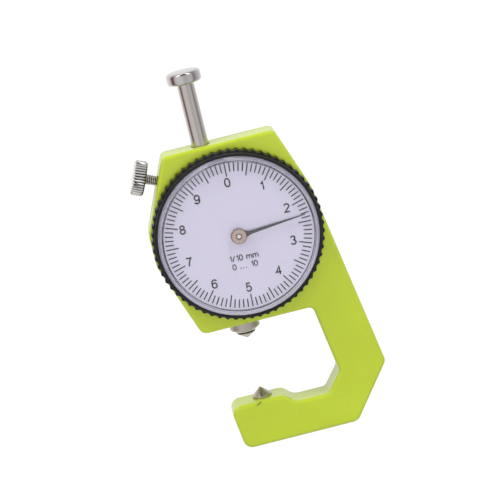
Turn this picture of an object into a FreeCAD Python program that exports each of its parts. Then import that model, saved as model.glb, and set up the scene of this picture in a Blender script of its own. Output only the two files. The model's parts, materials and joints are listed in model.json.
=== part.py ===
import FreeCAD, Part
import math
import os

# Plunger dial gauge for tyre tread and thickness, 0-10 mm with a full turn of the hand per 10 mm.
#
# Frame of the part, in millimetres:
#   +Z runs up along the plunger, towards its button.
#   The dial faces -Y.
#   The throat of the C-shaped body opens towards -X, and its arm passes on the +X side.
#   The origin is on the flat bottom of the foot, below the plunger's axis, at mid-thickness.
#
# Turned pieces are given as (radius, distance along their axis) pairs. On the dial's axis that
# distance is counted forwards, towards the reader, from the mid-plane of the body.

V = FreeCAD.Vector
os.makedirs("parts", exist_ok=True)

# ---------------------------------------------------------------- clearances
running_fit = 0.05          # radial, a shaft that turns or slides in its hole
bearing_fit = 0.03          # radial, the arbor in its bearings
bush_fit = 0.04             # radial, the plunger in its bushes
unlocked_gap = 0.25         # between the lock pad and the plunger, screw slackened
closed_gap = 0.05           # between the two points, button pressed home

# ---------------------------------------------------------------- movement
rack_pitch = 0.625
pinion_teeth = 16           # 16 x 0.625 mm = 10 mm of travel for each turn
module = rack_pitch / math.pi
pinion_pitch_radius = pinion_teeth * module / 2
pressure_angle = math.radians(20)
backlash = 0.03
pinion_width = 2.4
arbor_radius = 0.6
pivot_radius = 0.4
bearing_radius = 1.3

# ---------------------------------------------------------------- plunger, from its lower point upwards
plunger_radius = 2.0
rack_line = plunger_radius - 0.19   # distance of the rack's pitch line from the plunger's axis
travel = 12.25
pad_top = 10.6
anvil_cone = 2.3                    # base radius and height of the 90 degree cone
anvil_shank_radius = 1.25
anvil_shank = 5.0
contact_radius = plunger_radius + 0.15
contact_cone = 1.4                  # height of the blunt cone
contact_rim = 0.15
tip_flat = 0.15                     # radius of the blunt end of both points
contact_stub_radius = 0.8
contact_stub = 3.0
stop_gap = 0.25                     # shows as the dark line above the contact point
anvil_tip = pad_top + anvil_cone
tip_z = anvil_tip + travel + closed_gap
contact_top = tip_z + contact_cone + contact_rim

low_bush_bottom = contact_top + stop_gap
low_bush_radius = plunger_radius + 1.2
low_bush_flange = low_bush_radius + 0.35
low_bush_cone_top = low_bush_bottom + 0.9
head_bottom = low_bush_bottom + 2.45
low_bush_top = head_bottom + 2.95

spring_wire = 0.14                  # radius of the wire
spring_radius = plunger_radius + spring_wire + 0.26
spring_turns = 6.5
spring_pressed = 2.35               # its length with the button pressed home
collar_radius = plunger_radius + 0.6
collar_bottom = low_bush_top + travel + spring_pressed
collar_height = 1.6
spring_bore = collar_radius + 0.25
guide_pin_radius = 0.6
pin_z = collar_bottom + collar_height / 2

# ---------------------------------------------------------------- body
body_thickness = 8.5
front = body_thickness / 2          # forward height of the body's front face
back_wall = 1.45
pocket_floor = back_wall - front
edge_round = 0.8
throat_floor = pad_top - 2.3
dial_x = rack_line + pinion_pitch_radius
dial_z = collar_bottom + 4.0
body_top = dial_z + 21.3
shoulder_z = dial_z + 4.2           # where the slanted upper left side ends
corner_x = -9.3                     # upper left corner
side_x = -16.6                      # the short upright left side

# ---------------------------------------------------------------- seat, bezel, dial and crystal
seat_radius = 17.0                  # round boss of the body that the bezel turns on
seat_top = front + 2.15
clip_wire = 0.25
clip_height = front + 1.25
clip_groove = 0.35                  # half the width of the groove
dial_face = front + 2.95            # forward height of the printed face
dial_thickness = 0.6
dial_back = dial_face - dial_thickness
dial_radius = seat_radius + 1.1
crystal_radius = dial_radius + 0.5
crystal_inner = crystal_radius - 1.15
crystal_flat = crystal_radius - 1.1
crystal_under = dial_face + 1.75
crystal_top = dial_face + 2.6
rim_radius = crystal_radius + 0.65
rim_top = dial_face + 1.55
rim_bevel = 0.3
bezel_radius = rim_radius + 0.75
bezel_bottom = front + 0.2
bezel_flange_top = front + 3.0
scallops = 65
scallop_depth = 0.42

ring_line_outer = dial_radius - 0.74
ring_line_inner = ring_line_outer - 0.12
tick_count = 100
tick_inner = dial_radius - 3.08
tick_inner_long = dial_radius - 4.05
tick_width = 0.22
print_height = 0.05
zero_turn = math.radians(2.15)      # the dial is turned this far clockwise of upright
hand_turn = math.radians(85.6)      # the hand at rest, clockwise of upright
hand_length = tick_inner + 1.03
hand_root = 0.48                    # half-width beside the hub
hand_tip = 0.09
hand_thickness = 0.2
hand_height = dial_face + 0.65
hub_radius = 1.85
hub_top = dial_face + 1.5

# ---------------------------------------------------------------- movement housing
top_lip = 1.2
bush_top = body_top - top_lip
top_bush_radius = plunger_radius + 1.0
bridge_radius = seat_radius - 2.7
bridge_seat = top_bush_radius + 0.05
bridge_thickness = 0.9
bridge_front = bridge_seat + bridge_thickness
bridge_screw_radius = 0.8
bridge_screw_head = 1.3
bridge_screw_head_height = 0.55
bridge_screw_length = 2.6
bridge_screw_circle = bridge_radius - bridge_screw_head
bridge_screw_angles = (20, 165, 285)
pocket_radius = seat_radius - 5.5
rear_bearing_low = pocket_floor - 1.05
rear_bearing_high = pocket_floor + 0.3
guide_pin_reach = -pocket_floor + 0.7
guide_slot_depth = guide_pin_reach + 0.2

# ---------------------------------------------------------------- button
button_radius = 4.0
button_height = 2.8
button_round = 0.7
button_bottom = body_top + travel + 2.55
spigot_radius = 1.5
spigot_length = 1.8

# ---------------------------------------------------------------- lock screw, M2.5 x 0.45
screw_z = dial_z + 15.6             # height where its axis meets the slanted side
screw_slope = math.atan2(corner_x - side_x, body_top - shoulder_z)
screw_x = corner_x - (body_top - screw_z) * math.tan(screw_slope)
screw_radius = 1.25
knob_radius = 4.05
knob_length = 2.9
knob_start = -5.6                   # along the axis, from the slanted side
knob_ridges = 36
knob_ridge_depth = 0.3
knob_bevel = 0.35
pad_radius = screw_radius - 0.1
pad_length = 2.6
plunger_reach = (-plunger_radius - screw_x) / math.cos(screw_slope)
shank_end = plunger_reach - pad_length
pad_z = screw_z - plunger_reach * math.sin(screw_slope)
top_bush_bottom = pad_z + 3.15


# ================================================================ helpers
def polygon_face(points):
    return Part.Face(Part.makePolygon(points + points[:1]))


def turned(profile, origin, axis):
    """Solid of revolution from (radius, distance along the axis) pairs."""
    face = polygon_face([V(radius, 0, along) for radius, along in profile])
    solid = face.revolve(V(0, 0, 0), V(0, 0, 1), 360)
    solid.Placement = FreeCAD.Placement(origin, FreeCAD.Rotation(V(0, 0, 1), axis))
    return solid


def rod(radius, low, high, origin, axis):
    solid = Part.makeCylinder(radius, high - low, V(0, 0, low))
    solid.Placement = FreeCAD.Placement(origin, FreeCAD.Rotation(V(0, 0, 1), axis))
    return solid


plunger_axis = (V(0, 0, 0), V(0, 0, 1))
dial_axis = (V(dial_x, 0, dial_z), V(0, -1, 0))
screw_axis = (V(screw_x, 0, screw_z), V(math.cos(screw_slope), 0, -math.sin(screw_slope)))


def on_dial(radius, angle, height):
    """Point at a clockwise angle from upright, seen from the front, at a forward height."""
    return V(dial_x + radius * math.sin(angle), -height, dial_z + radius * math.cos(angle))


def rounded_outline(corners):
    """Closed wire in the mid-plane through (x, z, radius) corners, each rounded by its radius."""
    points = [V(x, 0, z) for x, z, _ in corners]
    edges = []
    starts = []
    ends = []
    middles = []
    for i, (_, _, radius) in enumerate(corners):
        here = points[i]
        back = (points[i - 1] - here).normalize()
        ahead = (points[(i + 1) % len(points)] - here).normalize()
        half = back.getAngle(ahead) / 2
        run = radius / math.tan(half)
        inward = (back + ahead).normalize()
        middles.append(here + inward * (radius / math.sin(half) - radius))
        starts.append(here + back * run)
        ends.append(here + ahead * run)
    for i in range(len(points)):
        edges.append(Part.Arc(starts[i], middles[i], ends[i]).toShape())
        edges.append(Part.LineSegment(ends[i], starts[(i + 1) % len(points)]).toShape())
    return Part.Wire(edges)


def save(name, solids):
    solids = solids if isinstance(solids, list) else [solids]
    shape = solids[0] if len(solids) == 1 else Part.makeCompound(solids)
    if len(solids) == 1 and shape.ShapeType == "Compound" and len(shape.Solids) == 1:
        shape = shape.Solids[0]
    shape.exportStep("parts/" + name + ".step")
    print(name, len(shape.Solids), "solid", round(shape.Volume, 2), "mm3", shape.isValid())


# ================================================================ C-shaped body
outline = rounded_outline([
    (corner_x, body_top, 1.5),
    (17.0, body_top, 1.5),
    (22.5, dial_z + 6.2, 4.0),
    (30.0, 12.6, 2.0),
    (20.5, 0.0, 2.5),
    (-6.6, 0.0, 2.2),
    (-8.05, pad_top, 2.2),
    (5.1, pad_top, 3.2),
    (7.4, throat_floor, 3.2),
    (15.1, throat_floor, 1.4),
    (18.9, 13.0, 1.4),
    (16.3, head_bottom, 1.4),
    (-10.1, head_bottom, 2.0),
    (side_x, dial_z - 3.3, 5.0),
    (side_x, shoulder_z, 5.0),
])
slab = Part.Face(outline).extrude(V(0, body_thickness, 0))
slab.translate(V(0, -front, 0))
rims = [
    edge for edge in slab.Edges
    if all(abs(abs(vertex.Point.y) - front) < 1e-6 for vertex in edge.Vertexes)
    and edge.Vertexes[0].Point.y * edge.Vertexes[-1].Point.y > 0
]
body = slab.makeFillet(edge_round, rims)

# The round seat for the bezel, with its groove for the spring clip.
body = body.fuse(rod(seat_radius, front - 1, seat_top, *dial_axis))
body = body.cut(turned([
    (seat_radius - 0.4, clip_height - clip_groove),
    (seat_radius + 1.0, clip_height - clip_groove),
    (seat_radius + 1.0, clip_height + clip_groove),
    (seat_radius - 0.4, clip_height + clip_groove),
], *dial_axis))

# The pocket for the movement opens forwards through the seat, with a ledge for the bridge.
body = body.cut(rod(pocket_radius, pocket_floor, seat_top + 1, *dial_axis))
body = body.cut(rod(bridge_radius + 0.1, bridge_seat, seat_top + 1, *dial_axis))
body = body.cut(rod(bearing_radius, rear_bearing_low, 0, *dial_axis))
for angle in bridge_screw_angles:
    place = on_dial(bridge_screw_circle, math.radians(angle), 0)
    screw_low = bridge_front - bridge_screw_length - 0.3
    body = body.cut(rod(bridge_screw_radius, screw_low, bridge_seat + 1, place, V(0, -1, 0)))

# Bores along the plunger: a clearance hole in the top, the two bush seats and the spring's bore.
body = body.cut(rod(plunger_radius + 0.2, bush_top - 1, body_top + 1, *plunger_axis))
body = body.cut(rod(top_bush_radius, dial_z + 2.8, bush_top, *plunger_axis))
body = body.cut(rod(spring_bore, low_bush_top, collar_bottom + collar_height + 0.6, *plunger_axis))
body = body.cut(rod(low_bush_radius, head_bottom - 1, low_bush_top, *plunger_axis))

# The guide pin runs in a slot in the back wall of the pocket.
slot_half = guide_pin_radius + running_fit
slot_low = pin_z - travel - slot_half - 0.3
slot_high = pin_z + slot_half + 0.3
body = body.cut(Part.makeBox(
    2 * slot_half, guide_slot_depth, slot_high - slot_low, V(-slot_half, 0, slot_low)))

# The tapped hole for the lock screw and the hole for the anvil.
body = body.cut(rod(screw_radius, -3.0, plunger_reach - 0.4, *screw_axis))
body = body.cut(rod(anvil_shank_radius, pad_top - anvil_shank, pad_top + 1, *plunger_axis))
save("c_frame", body)

# ================================================================ fixed measuring point
anvil = turned([
    (0, pad_top - anvil_shank),
    (anvil_shank_radius, pad_top - anvil_shank),
    (anvil_shank_radius, pad_top),
    (anvil_cone, pad_top),
    (tip_flat, anvil_tip),
    (0, anvil_tip),
], *plunger_axis)
save("anvil", anvil)

# ================================================================ plunger bushes
bush_bore = plunger_radius + bush_fit
top_bush = turned([
    (bush_bore, top_bush_bottom),
    (top_bush_radius, top_bush_bottom),
    (top_bush_radius, bush_top),
    (bush_bore, bush_top),
], *plunger_axis)
save("top_bush", top_bush)

low_bush = turned([
    (bush_bore, low_bush_bottom),
    (contact_radius + 0.15, low_bush_bottom),
    (low_bush_flange, low_bush_cone_top),
    (low_bush_flange, head_bottom),
    (low_bush_radius, head_bottom),
    (low_bush_radius, low_bush_top),
    (bush_bore, low_bush_top),
], *plunger_axis)
save("low_bush", low_bush)

# ================================================================ plunger with its rack
plunger = rod(plunger_radius, contact_top, button_bottom, *plunger_axis)
plunger = plunger.fuse(rod(spigot_radius, button_bottom - 1, button_bottom + spigot_length, *plunger_axis))
plunger = plunger.cut(rod(contact_stub_radius, contact_top - 1, contact_top + contact_stub, *plunger_axis))
plunger = plunger.cut(rod(guide_pin_radius, 1.2, 3.0, V(0, 0, pin_z), V(0, 1, 0)))

# Tooth gaps of the rack stand opposite the pinion, one centred on the dial's height at rest.
gap_count_up = math.ceil(travel / rack_pitch) + 2
root_x = rack_line - 1.25 * module
outer_x = plunger_radius + 0.2
half_root = (rack_pitch / 2 + backlash) / 2 - (rack_line - root_x) * math.tan(pressure_angle)
half_outer = (rack_pitch / 2 + backlash) / 2 + (outer_x - rack_line) * math.tan(pressure_angle)
tooth_gap = polygon_face([
    V(root_x, -plunger_radius, -half_root),
    V(outer_x, -plunger_radius, -half_outer),
    V(outer_x, -plunger_radius, half_outer),
    V(root_x, -plunger_radius, half_root),
]).extrude(V(0, 2 * plunger_radius, 0))
gaps = []
for index in range(-2, gap_count_up + 1):
    cutter = tooth_gap.copy()
    cutter.translate(V(0, 0, dial_z + index * rack_pitch))
    gaps.append(cutter)
plunger = plunger.cut(Part.makeCompound(gaps))
save("plunger", plunger)

# ================================================================ button
button = rod(button_radius, button_bottom, button_bottom + button_height, *plunger_axis)
rims = [edge for edge in button.Edges if abs(edge.Length - 2 * math.pi * button_radius) < 1e-3]
button = button.makeFillet(button_round, rims)
button = button.cut(rod(spigot_radius, button_bottom - 1, button_bottom + spigot_length, *plunger_axis))
save("button", button)

# ================================================================ moving contact point
contact_tip = tip_z + tip_flat * contact_cone / contact_radius
contact = turned([
    (0, contact_tip),
    (tip_flat, contact_tip),
    (contact_radius, tip_z + contact_cone),
    (contact_radius, contact_top),
    (contact_stub_radius, contact_top),
    (contact_stub_radius, contact_top + contact_stub - 0.1),
    (0, contact_top + contact_stub - 0.1),
], *plunger_axis)
save("contact_point", contact)

# ================================================================ spring collar, guide pin, spring
collar = turned([
    (plunger_radius, collar_bottom),
    (collar_radius, collar_bottom),
    (collar_radius, collar_bottom + collar_height),
    (plunger_radius, collar_bottom + collar_height),
], *plunger_axis)
collar = collar.cut(rod(guide_pin_radius, 1.2, 3.0, V(0, 0, pin_z), V(0, 1, 0)))
save("spring_collar", collar)

guide_pin = rod(guide_pin_radius, 1.25, guide_pin_reach, V(0, 0, pin_z), V(0, 1, 0))
save("guide_pin", guide_pin)

spring_low = low_bush_top + spring_wire + 0.03
spring_high = collar_bottom - spring_wire - 0.03
helix = Part.makeHelix((spring_high - spring_low) / spring_turns, spring_high - spring_low, spring_radius)
ring = Part.Wire(Part.makeCircle(spring_wire, V(spring_radius, 0, 0), V(0, 1, 0)))
spring = Part.Wire(helix).makePipeShell([ring], True, True)
spring.translate(V(0, 0, spring_low))
save("return_spring", spring)

# ================================================================ bridge, its screws and the bearings
bridge = rod(bridge_radius, bridge_seat, bridge_front, *dial_axis)
bridge = bridge.cut(rod(bearing_radius, bridge_seat - 1, bridge_front + 1, *dial_axis))
screws = []
for angle in bridge_screw_angles:
    place = on_dial(bridge_screw_circle, math.radians(angle), 0)
    bridge = bridge.cut(rod(bridge_screw_radius, bridge_seat - 1, bridge_front + 1, place, V(0, -1, 0)))
    screw = turned([
        (0, bridge_front - bridge_screw_length),
        (bridge_screw_radius, bridge_front - bridge_screw_length),
        (bridge_screw_radius, bridge_front),
        (bridge_screw_head, bridge_front),
        (bridge_screw_head, bridge_front + bridge_screw_head_height - 0.15),
        (bridge_screw_head - 0.2, bridge_front + bridge_screw_head_height),
        (0, bridge_front + bridge_screw_head_height),
    ], place, V(0, -1, 0))
    slot = Part.makeBox(4, 0.3, 0.35, place + V(-2, -bridge_front - bridge_screw_head_height, -0.175))
    screws.append(screw.cut(slot))
save("bridge", bridge)
save("bridge_screws", screws)

front_bearing = turned([
    (arbor_radius + bearing_fit, bridge_seat - 0.3),
    (bearing_radius, bridge_seat - 0.3),
    (bearing_radius, bridge_front + 0.1),
    (arbor_radius + bearing_fit, bridge_front + 0.1),
], *dial_axis)
save("front_bearing", front_bearing)

rear_bearing = turned([
    (pivot_radius + bearing_fit, rear_bearing_low),
    (bearing_radius, rear_bearing_low),
    (bearing_radius, rear_bearing_high),
    (pivot_radius + bearing_fit, rear_bearing_high),
], *dial_axis)
save("rear_bearing", rear_bearing)

# ================================================================ pointer arbor and pinion
arbor = turned([
    (0, rear_bearing_low + 0.1),
    (pivot_radius, rear_bearing_low + 0.1),
    (pivot_radius, rear_bearing_high + 0.1),
    (arbor_radius, rear_bearing_high + 0.1),
    (arbor_radius, dial_face + 0.25),
    (pivot_radius + 0.05, dial_face + 0.25),
    (pivot_radius + 0.05, hub_top - 0.1),
    (0, hub_top - 0.1),
], *dial_axis)
save("arbor", arbor)

base_radius = pinion_pitch_radius * math.cos(pressure_angle)
tip_radius = pinion_pitch_radius + module
root_radius = pinion_pitch_radius - 1.3 * module


def involute(angle):
    return math.tan(angle) - angle


half_tooth = (rack_pitch / 2 - backlash) / 2 / pinion_pitch_radius + involute(pressure_angle)
flank = [root_radius] + [
    base_radius + (tip_radius - base_radius) * step / 4 for step in range(5)
]
profile = []
for tooth in range(pinion_teeth):
    centre = tooth * 2 * math.pi / pinion_teeth
    side = []
    for radius in flank:
        roll = math.acos(min(1.0, base_radius / radius)) if radius > base_radius else 0.0
        side.append((radius, half_tooth - involute(roll)))
    for radius, half in side:
        profile.append(V(radius * math.cos(centre - half), radius * math.sin(centre - half), 0))
    for radius, half in reversed(side):
        profile.append(V(radius * math.cos(centre + half), radius * math.sin(centre + half), 0))
pinion = polygon_face(profile).extrude(V(0, 0, pinion_width))
pinion.translate(V(0, 0, -pinion_width / 2))
pinion = pinion.cut(Part.makeCylinder(arbor_radius, pinion_width + 2, V(0, 0, -pinion_width / 2 - 1)))
pinion.Placement = FreeCAD.Placement(dial_axis[0], FreeCAD.Rotation(V(0, 0, 1), dial_axis[1]))
save("pinion", pinion)

# ================================================================ hand and hub
across = hand_turn + math.pi / 2
hand_points = []
for radius, half in ((0.9, hand_root), (hand_length, hand_tip), (hand_length, -hand_tip), (0.9, -hand_root)):
    hand_points.append(on_dial(radius, hand_turn, hand_height) + (on_dial(half, across, 0) - on_dial(0, 0, 0)))
hand = polygon_face(hand_points).extrude(V(0, -hand_thickness, 0))
hand = hand.fuse(rod(1.3, hand_height, hand_height + hand_thickness, *dial_axis))
hand = hand.cut(rod(pivot_radius + 0.05, hand_height - 1, hand_height + 1, *dial_axis))
save("hand", hand)

hub_bottom = hand_height + hand_thickness
hub = turned([
    (pivot_radius + 0.05, hub_bottom),
    (hub_radius - 0.1, hub_bottom),
    (hub_radius, hub_bottom + 0.1),
    (hub_radius, hub_top - 0.15),
    (hub_radius - 0.15, hub_top),
    (pivot_radius + 0.2, hub_top),
    (pivot_radius + 0.05, hub_top - 0.15),
], *dial_axis)
save("hand_hub", hub)

# ================================================================ dial plate and its graduations
dial = rod(dial_radius, dial_back, dial_face, *dial_axis)
dial = dial.cut(rod(arbor_radius + 0.3, dial_back - 1, dial_face + 1, *dial_axis))
save("dial_plate", dial)

print_points = []
for index in range(tick_count):
    angle = zero_turn + index * 2 * math.pi / tick_count
    inner = tick_inner_long if index % 5 == 0 else tick_inner
    side_angle = math.asin(tick_width / 2 / ring_line_inner)
    middle = on_dial(inner, angle, dial_face)
    sideways = on_dial(tick_width / 2, angle + math.pi / 2, 0) - on_dial(0, 0, 0)
    print_points.append(on_dial(ring_line_inner, angle - side_angle, dial_face))
    print_points.append(middle - sideways)
    print_points.append(middle + sideways)
    print_points.append(on_dial(ring_line_inner, angle + side_angle, dial_face))
toothed = polygon_face(print_points).extrude(V(0, -print_height, 0))
disc = rod(ring_line_outer, dial_face, dial_face + print_height, *dial_axis)
save("dial_print", disc.cut(toothed))

# ================================================================ bezel
scallop = 2 * math.pi / scallops
middle_radius = bezel_radius - scallop_depth / 2
arcs = []
for index in range(scallops):
    angle = index * scallop
    start = on_dial(middle_radius, angle - scallop / 4, bezel_bottom)
    crest = on_dial(bezel_radius, angle, bezel_bottom)
    finish = on_dial(middle_radius, angle + scallop / 4, bezel_bottom)
    valley = on_dial(bezel_radius - scallop_depth, angle + scallop / 2, bezel_bottom)
    following = on_dial(middle_radius, angle + 3 * scallop / 4, bezel_bottom)
    arcs.append(Part.Arc(start, crest, finish).toShape())
    arcs.append(Part.Arc(finish, valley, following).toShape())
flange = Part.Face(Part.Wire(arcs)).extrude(V(0, bezel_bottom - bezel_flange_top, 0))
rim = turned([
    (seat_radius + running_fit + 0.5, bezel_bottom + 0.2),
    (rim_radius, bezel_bottom + 0.2),
    (rim_radius, rim_top - rim_bevel),
    (rim_radius - rim_bevel, rim_top),
    (seat_radius + running_fit + 0.5, rim_top),
], *dial_axis)
bezel = flange.fuse(rim)
bezel = bezel.cut(turned([
    (0, bezel_bottom - 1),
    (seat_radius + running_fit, bezel_bottom - 1),
    (seat_radius + running_fit, clip_height - clip_groove),
    (seat_radius + 0.45, clip_height - clip_groove),
    (seat_radius + 0.45, clip_height + clip_groove),
    (seat_radius + running_fit, clip_height + clip_groove),
    (seat_radius + running_fit, dial_back),
    (dial_radius, dial_back),
    (dial_radius, dial_face),
    (crystal_radius, dial_face),
    (crystal_radius, rim_top + 1),
    (0, rim_top + 1),
], *dial_axis))
save("bezel", bezel)

# ================================================================ crystal
crystal = turned([
    (0, crystal_under),
    (crystal_inner, crystal_under),
    (crystal_inner, dial_face),
    (crystal_radius, dial_face),
    (crystal_radius, rim_top),
    (crystal_flat, crystal_top),
    (0, crystal_top),
], *dial_axis)
save("crystal", crystal)

# ================================================================ spring clip that holds the bezel
clip_ring = Part.Face(Part.Wire(Part.makeCircle(clip_wire, V(seat_radius + 0.03, 0, clip_height), V(0, 1, 0))))
clip = clip_ring.revolve(V(0, 0, 0), V(0, 0, 1), 325)
clip.Placement = FreeCAD.Placement(dial_axis[0], FreeCAD.Rotation(V(0, 0, 1), dial_axis[1]))
save("bezel_clip", clip)

# ================================================================ lock screw and its pad
star = []
for index in range(knob_ridges):
    angle = index * 2 * math.pi / knob_ridges
    dip = angle + math.pi / knob_ridges
    star.append(V(knob_radius * math.cos(angle), knob_radius * math.sin(angle), knob_start))
    inner = knob_radius - knob_ridge_depth
    star.append(V(inner * math.cos(dip), inner * math.sin(dip), knob_start))
knob = polygon_face(star).extrude(V(0, 0, knob_length))
knob = knob.common(turned([
    (0, knob_start),
    (knob_radius - knob_bevel, knob_start),
    (knob_radius, knob_start + knob_bevel),
    (knob_radius, knob_start + knob_length - knob_bevel),
    (knob_radius - knob_bevel, knob_start + knob_length),
    (0, knob_start + knob_length),
], V(0, 0, 0), V(0, 0, 1)))
shank = rod(screw_radius - running_fit, knob_start + knob_length - 0.5, shank_end, V(0, 0, 0), V(0, 0, 1))
lock_screw = knob.fuse(shank)
lock_screw.Placement = FreeCAD.Placement(screw_axis[0], FreeCAD.Rotation(V(0, 0, 1), screw_axis[1]))
save("lock_screw", lock_screw)

pad = rod(pad_radius, shank_end + 0.02, plunger_reach + 1.4, *screw_axis)
pad_face = -plunger_radius - unlocked_gap
pad = pad.common(Part.makeBox(10, 6, 12, V(pad_face - 10, -3, screw_z - 10.6)))
save("lock_pad", pad)
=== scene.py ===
# %% [markdown]
# # Plunger dial gauge, looked at closely
#
# The gauge is a lime-painted die casting shaped like a C. A bright plunger slides down through its
# head, a hand on the dial shows how far, and two cones meet in the throat. The measured model already
# exists, so this lesson is about looks. It loads that model, gives each of its pieces a finish, and
# replaces the pieces whose surface needs more detail than a bare solid has.

# %% Load the measured model
import json
import math

import bmesh
import bpy
from mathutils import Matrix, Vector


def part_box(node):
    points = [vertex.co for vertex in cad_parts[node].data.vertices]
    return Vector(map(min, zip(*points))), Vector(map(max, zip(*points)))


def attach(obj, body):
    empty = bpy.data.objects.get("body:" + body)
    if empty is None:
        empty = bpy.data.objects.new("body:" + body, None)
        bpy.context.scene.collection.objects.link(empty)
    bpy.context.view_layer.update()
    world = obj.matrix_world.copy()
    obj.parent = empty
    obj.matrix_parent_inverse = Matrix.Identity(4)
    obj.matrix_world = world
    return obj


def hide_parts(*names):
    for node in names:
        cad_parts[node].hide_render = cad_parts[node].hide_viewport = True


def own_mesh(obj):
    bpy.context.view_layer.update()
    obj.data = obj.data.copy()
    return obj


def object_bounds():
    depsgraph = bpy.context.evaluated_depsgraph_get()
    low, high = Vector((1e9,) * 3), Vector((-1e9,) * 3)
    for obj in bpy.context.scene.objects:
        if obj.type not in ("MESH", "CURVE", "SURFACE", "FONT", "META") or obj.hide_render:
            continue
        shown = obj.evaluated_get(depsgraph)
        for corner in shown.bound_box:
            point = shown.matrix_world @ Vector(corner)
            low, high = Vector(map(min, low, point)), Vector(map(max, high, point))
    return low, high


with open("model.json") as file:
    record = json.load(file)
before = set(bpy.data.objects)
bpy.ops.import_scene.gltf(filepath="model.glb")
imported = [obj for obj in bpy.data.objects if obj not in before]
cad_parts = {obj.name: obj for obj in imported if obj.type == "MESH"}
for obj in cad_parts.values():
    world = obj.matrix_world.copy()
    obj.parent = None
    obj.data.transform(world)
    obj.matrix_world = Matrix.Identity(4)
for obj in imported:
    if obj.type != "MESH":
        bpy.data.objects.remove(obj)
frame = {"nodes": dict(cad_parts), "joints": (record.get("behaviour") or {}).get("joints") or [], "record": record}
model_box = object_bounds()
MM = 0.001
print("size in mm:", [round((b - a) / MM, 1) for a, b in zip(*model_box)])

# %% [markdown]
# ## Places
#
# Nearly every piece turns about one of three lines: the plunger's, the dial's or the lock screw's. Each
# is kept as an origin and a direction. Heights on the dial's line count forwards, towards the reader.
# All three come from the loaded model, so the new shapes stand where the measured ones do.


# %% Find the three axes
def box_mm(node):
    low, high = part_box(node)
    return low / MM, high / MM


def joint(name):
    return next(entry for entry in frame["joints"] if entry["name"] == name)


dial_low, dial_high = box_mm("dial_plate")
dial_x = (dial_low.x + dial_high.x) / 2
dial_z = (dial_low.z + dial_high.z) / 2
dial_face = -dial_low.y
dial_radius = (dial_high.x - dial_low.x) / 2

PLUNGER_AXIS = (Vector((0, 0, 0)), Vector((0, 0, 1)))
DIAL_AXIS = (Vector((dial_x, 0, dial_z)), Vector((0, -1, 0)))
SCREW_AXIS = (
    Vector(joint("lock_turn")["pos_m"]) / MM,
    Vector(joint("lock_turn")["axis"]).normalized(),
)
print("dial centre:", round(dial_x, 2), round(dial_z, 2), "face", round(dial_face, 2))

# %% [markdown]
# ## Helpers for shapes
#
# Turned pieces start as a profile: a list of (radius, height, rounding) corners. Real edges are never
# perfectly sharp, and it is the small rounding that catches the light, so one helper rounds each corner
# with an arc. A second helper spins the profile, and it can ripple the radius as it goes round, which
# is all that a knurl is.


# %% Round the corners of a profile
def rounded(corners, closed=True, steps=5):
    """Points along straight runs and arcs through (a, b, rounding) corners."""
    count = len(corners)
    points = []
    for i, (a, b, rounding) in enumerate(corners):
        here = Vector((a, b))
        if rounding <= 0 or (not closed and i in (0, count - 1)):
            points.append(here)
            continue
        back = (Vector(corners[i - 1][:2]) - here).normalized()
        ahead = (Vector(corners[(i + 1) % count][:2]) - here).normalized()
        half = back.angle(ahead) / 2
        run = rounding / math.tan(half)
        centre = here + (back + ahead).normalized() * (rounding / math.sin(half))
        start = here + back * run - centre
        finish = here + ahead * run - centre
        sweep = start.angle_signed(finish)
        for step in range(steps + 1):
            turn = Matrix.Rotation(-sweep * step / steps, 2)
            points.append(centre + turn @ start)
    return points


# %% Spin a profile into a solid
def circle(height, radius_at, segments):
    """Points round Z at this height, where radius_at gives the radius for an angle."""
    angles = [step * 2 * math.pi / segments for step in range(segments)]
    return [Vector((radius_at(a) * math.cos(a), radius_at(a) * math.sin(a), height)) for a in angles]


def spun(profile, segments=96, ripple=None):
    """Vertices and faces of a profile turned about Z. Points on the axis become poles."""
    vertices = []
    rings = []
    for point in profile:
        first = len(vertices)
        if point.x < 1e-6:
            rings.append([first])
            vertices.append(Vector((0, 0, point.y)))
            continue
        rings.append(range(first, first + segments))
        vertices += circle(point.y, lambda a: point.x + (ripple(point, a) if ripple else 0), segments)
    faces = []
    above = rings[1:] if len(rings[0]) == 1 else rings[1:] + rings[:1]
    for low, high in zip(rings, above):
        for step in range(segments):
            after = (step + 1) % segments
            if len(low) == 1 and len(high) == 1:
                continue
            if len(low) == 1:
                faces.append((low[0], high[after], high[step]))
            elif len(high) == 1:
                faces.append((low[step], low[after], high[0]))
            else:
                faces.append((low[step], low[after], high[after], high[step]))
    return vertices, faces


# %% Skin rings that lie one above the other
def skinned(levels, sides):
    """Faces between the rings of a rod, and one at each end. Every ring has as many points as sides."""
    faces = []
    for level in range(levels - 1):
        for side in range(sides):
            a = level * sides + side
            b = level * sides + (side + 1) % sides
            faces.append((a, b, b + sides, a + sides))
    faces.append(tuple(reversed(range(sides))))
    faces.append(tuple(range((levels - 1) * sides, levels * sides)))
    return faces


def linked(name, data):
    """An object in the scene that shows this mesh, light or camera."""
    thing = bpy.data.objects.new(name, data)
    bpy.context.scene.collection.objects.link(thing)
    return thing


def plain_mesh(name, vertices, faces):
    mesh = bpy.data.meshes.new(name)
    mesh.from_pydata(vertices, [], faces)
    return mesh


# %% Make an object from millimetre vertices, in place on an axis
def on_axis(axis):
    """Matrix that takes a shape built about Z to an axis, in metres."""
    origin, direction = axis
    turn = Vector((0, 0, 1)).rotation_difference(direction).to_matrix().to_4x4()
    return Matrix.Scale(MM, 4) @ Matrix.Translation(origin) @ turn


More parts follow.
